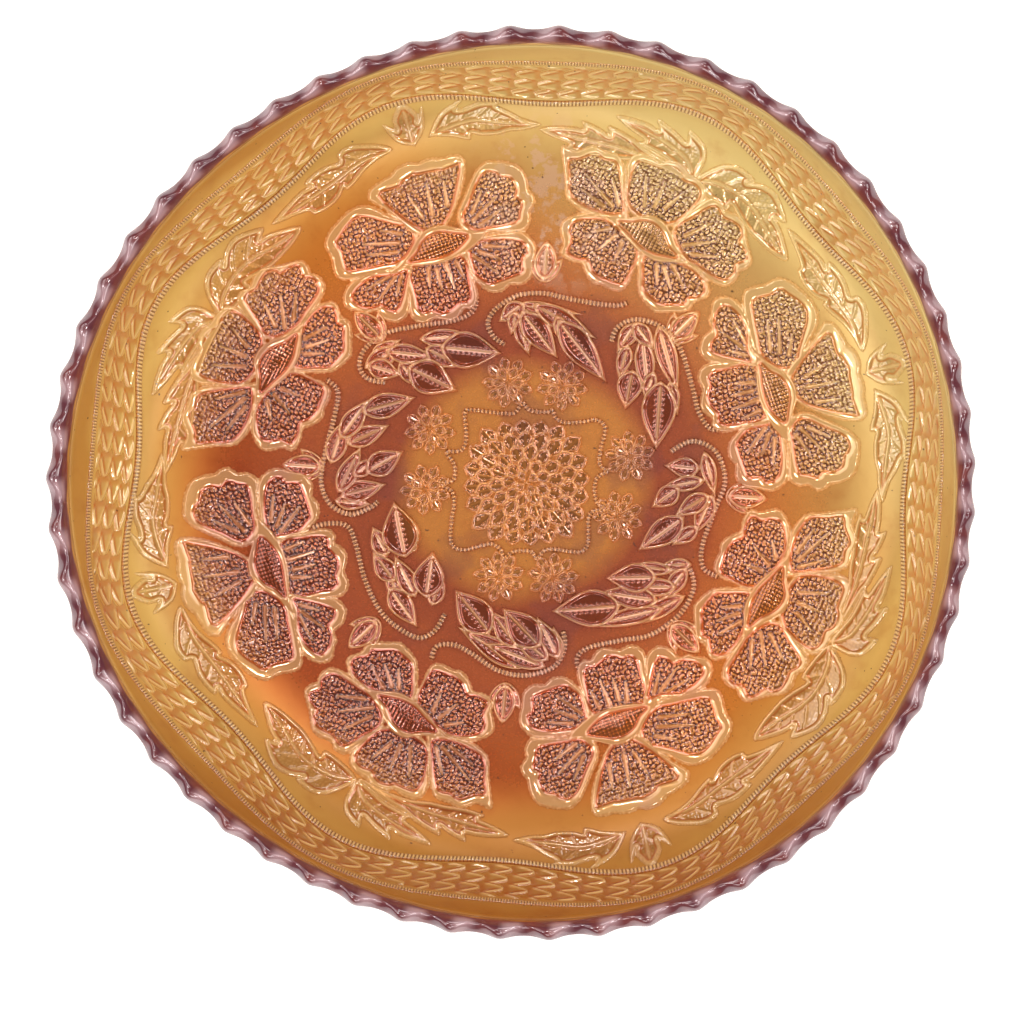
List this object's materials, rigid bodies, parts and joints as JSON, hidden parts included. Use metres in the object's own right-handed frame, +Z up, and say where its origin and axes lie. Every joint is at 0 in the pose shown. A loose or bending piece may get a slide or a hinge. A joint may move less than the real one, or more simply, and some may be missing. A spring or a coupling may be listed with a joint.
{
  "type": "carnival glass bowl",
  "caption": "Shallow pressed iridescent glass bowl on a ring foot, with a finely scalloped lip and raised inside decoration of stippled flowers, leaves, beaded stems and scales.",
  "frame": {"origin": "middle of the bowl, on the plane its ring foot stands on", "axes": "+Z up, out of the bowl; +X to the right and +Y away as the inside pattern is seen from above"},
  "size_m": [0.2595, 0.2552, 0.047],
  "materials": {
    "body_glass": "smooth pressed glass under an iridescent spray, orange gold to rust",
    "rim_glass": "polished scalloped lip with a plum iridescent sheen",
    "foot_glass": "smooth pressed glass ring foot",
    "flower_glass": "raised stippled petals with polished pinkish margins",
    "leaf_glass": "raised veined leaves with polished margins",
    "bead_glass": "fine polished beading",
    "scale_glass": "overlapping scale relief, golden iridescence",
    "blossom_glass": "raised overlapping petals with polished edges"
  },
  "bodies": {
    "root": {"base_collar": "foot_glass", "blossom_1": "blossom_glass", "blossom_2": "blossom_glass", "blossom_3": "blossom_glass", "blossom_4": "blossom_glass", "blossom_5": "blossom_glass", "blossom_6": "blossom_glass", "blossom_7": "blossom_glass", "blossom_8": "blossom_glass", "bowl_body": "body_glass", "bud_1": "leaf_glass", "bud_2": "leaf_glass", "bud_3": "leaf_glass", "bud_4": "leaf_glass", "bud_5": "leaf_glass", "bud_6": "leaf_glass", "bud_7": "leaf_glass", "bud_8": "leaf_glass", "flower_1": "flower_glass", "flower_2": "flower_glass", "flower_3": "flower_glass", "flower_4": "flower_glass", "flower_5": "flower_glass", "flower_6": "flower_glass", "flower_7": "flower_glass", "flower_8": "flower_glass", "inner_bead_line": "bead_glass", "inner_leaves_1": "leaf_glass", "inner_leaves_2": "leaf_glass", "inner_leaves_3": "leaf_glass", "inner_leaves_4": "leaf_glass", "inner_leaves_5": "leaf_glass", "inner_leaves_6": "leaf_glass", "inner_leaves_7": "leaf_glass", "inner_leaves_8": "leaf_glass", "medallion_frame": "bead_glass", "medallion_mum": "blossom_glass", "outer_bead_line": "bead_glass", "outer_spray_1": "leaf_glass", "outer_spray_2": "leaf_glass", "outer_spray_3": "leaf_glass", "outer_spray_4": "leaf_glass", "outer_spray_5": "leaf_glass", "outer_spray_6": "leaf_glass", "outer_spray_7": "leaf_glass", "outer_spray_8": "leaf_glass", "scale_band": "scale_glass", "scalloped_rim": "rim_glass", "stem_1": "bead_glass", "stem_2": "bead_glass", "stem_3": "bead_glass", "stem_4": "bead_glass", "stem_5": "bead_glass", "stem_6": "bead_glass", "stem_7": "bead_glass", "stem_8": "bead_glass"}
  },
  "joints": []
}
